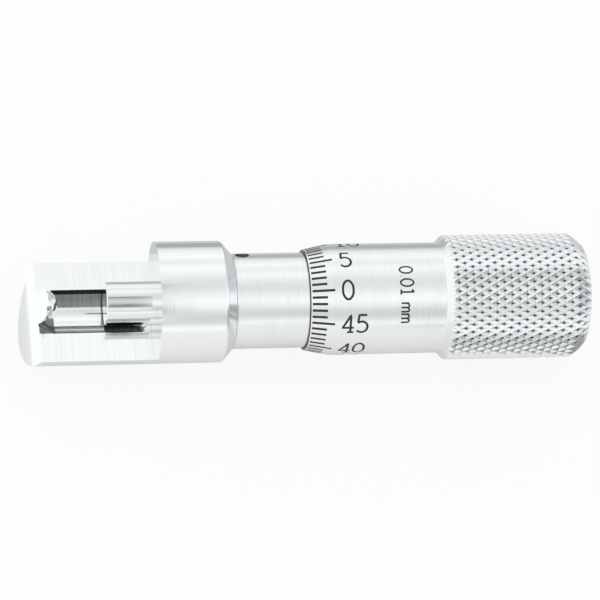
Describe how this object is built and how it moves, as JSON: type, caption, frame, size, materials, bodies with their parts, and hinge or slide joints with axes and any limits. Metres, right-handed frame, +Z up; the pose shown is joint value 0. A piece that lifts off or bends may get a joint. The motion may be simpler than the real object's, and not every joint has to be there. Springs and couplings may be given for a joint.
{
  "type": "can seam micrometer",
  "caption": "Can seam micrometer: a knurled thimble drives a round spindle towards a ball-nosed anvil in a milled-away head.",
  "frame": {"origin": "under the middle of its length, on the surface it lies on", "axes": "+X along the spindle's axis towards the thimble, +Z up, out of the head's milled flat"},
  "size_m": [0.0828, 0.0184, 0.0184],
  "materials": {
    "ground_steel": "ground and milled bright steel",
    "lapped_steel": "lapped hardened steel",
    "satin_chrome": "satin chrome with black-filled engraving"
  },
  "bodies": {
    "frame": {"head_frame": "ground_steel", "anvil": "lapped_steel", "inner_barrel": "ground_steel", "adjusting_nut": "ground_steel"},
    "sleeve": {"sleeve": "satin_chrome"},
    "spindle": {"spindle": "lapped_steel"},
    "thimble": {"thimble": "satin_chrome", "thimble_cap": "satin_chrome"}
  },
  "joints": [
    {"name": "spindle_slide", "type": "slide", "parent": "frame", "child": "spindle", "axis": [1, 0, 0], "range_m": [-0.0068, 0.00615]},
    {"name": "thimble_turn", "type": "hinge", "parent": "spindle", "child": "thimble", "pos_m": [0.02143, 0, 0.00918], "axis": [1, 0, 0], "range_deg": [-4900, 4430]},
    {"name": "sleeve_turn", "type": "hinge", "parent": "frame", "child": "sleeve", "pos_m": [-0.00147, 0, 0.00918], "axis": [1, 0, 0], "range_deg": [-180, 180]}
  ],
  "couplings": [
    {"joint": "thimble_turn", "follows": "spindle_slide", "rad_per_m": 12566}
  ]
}
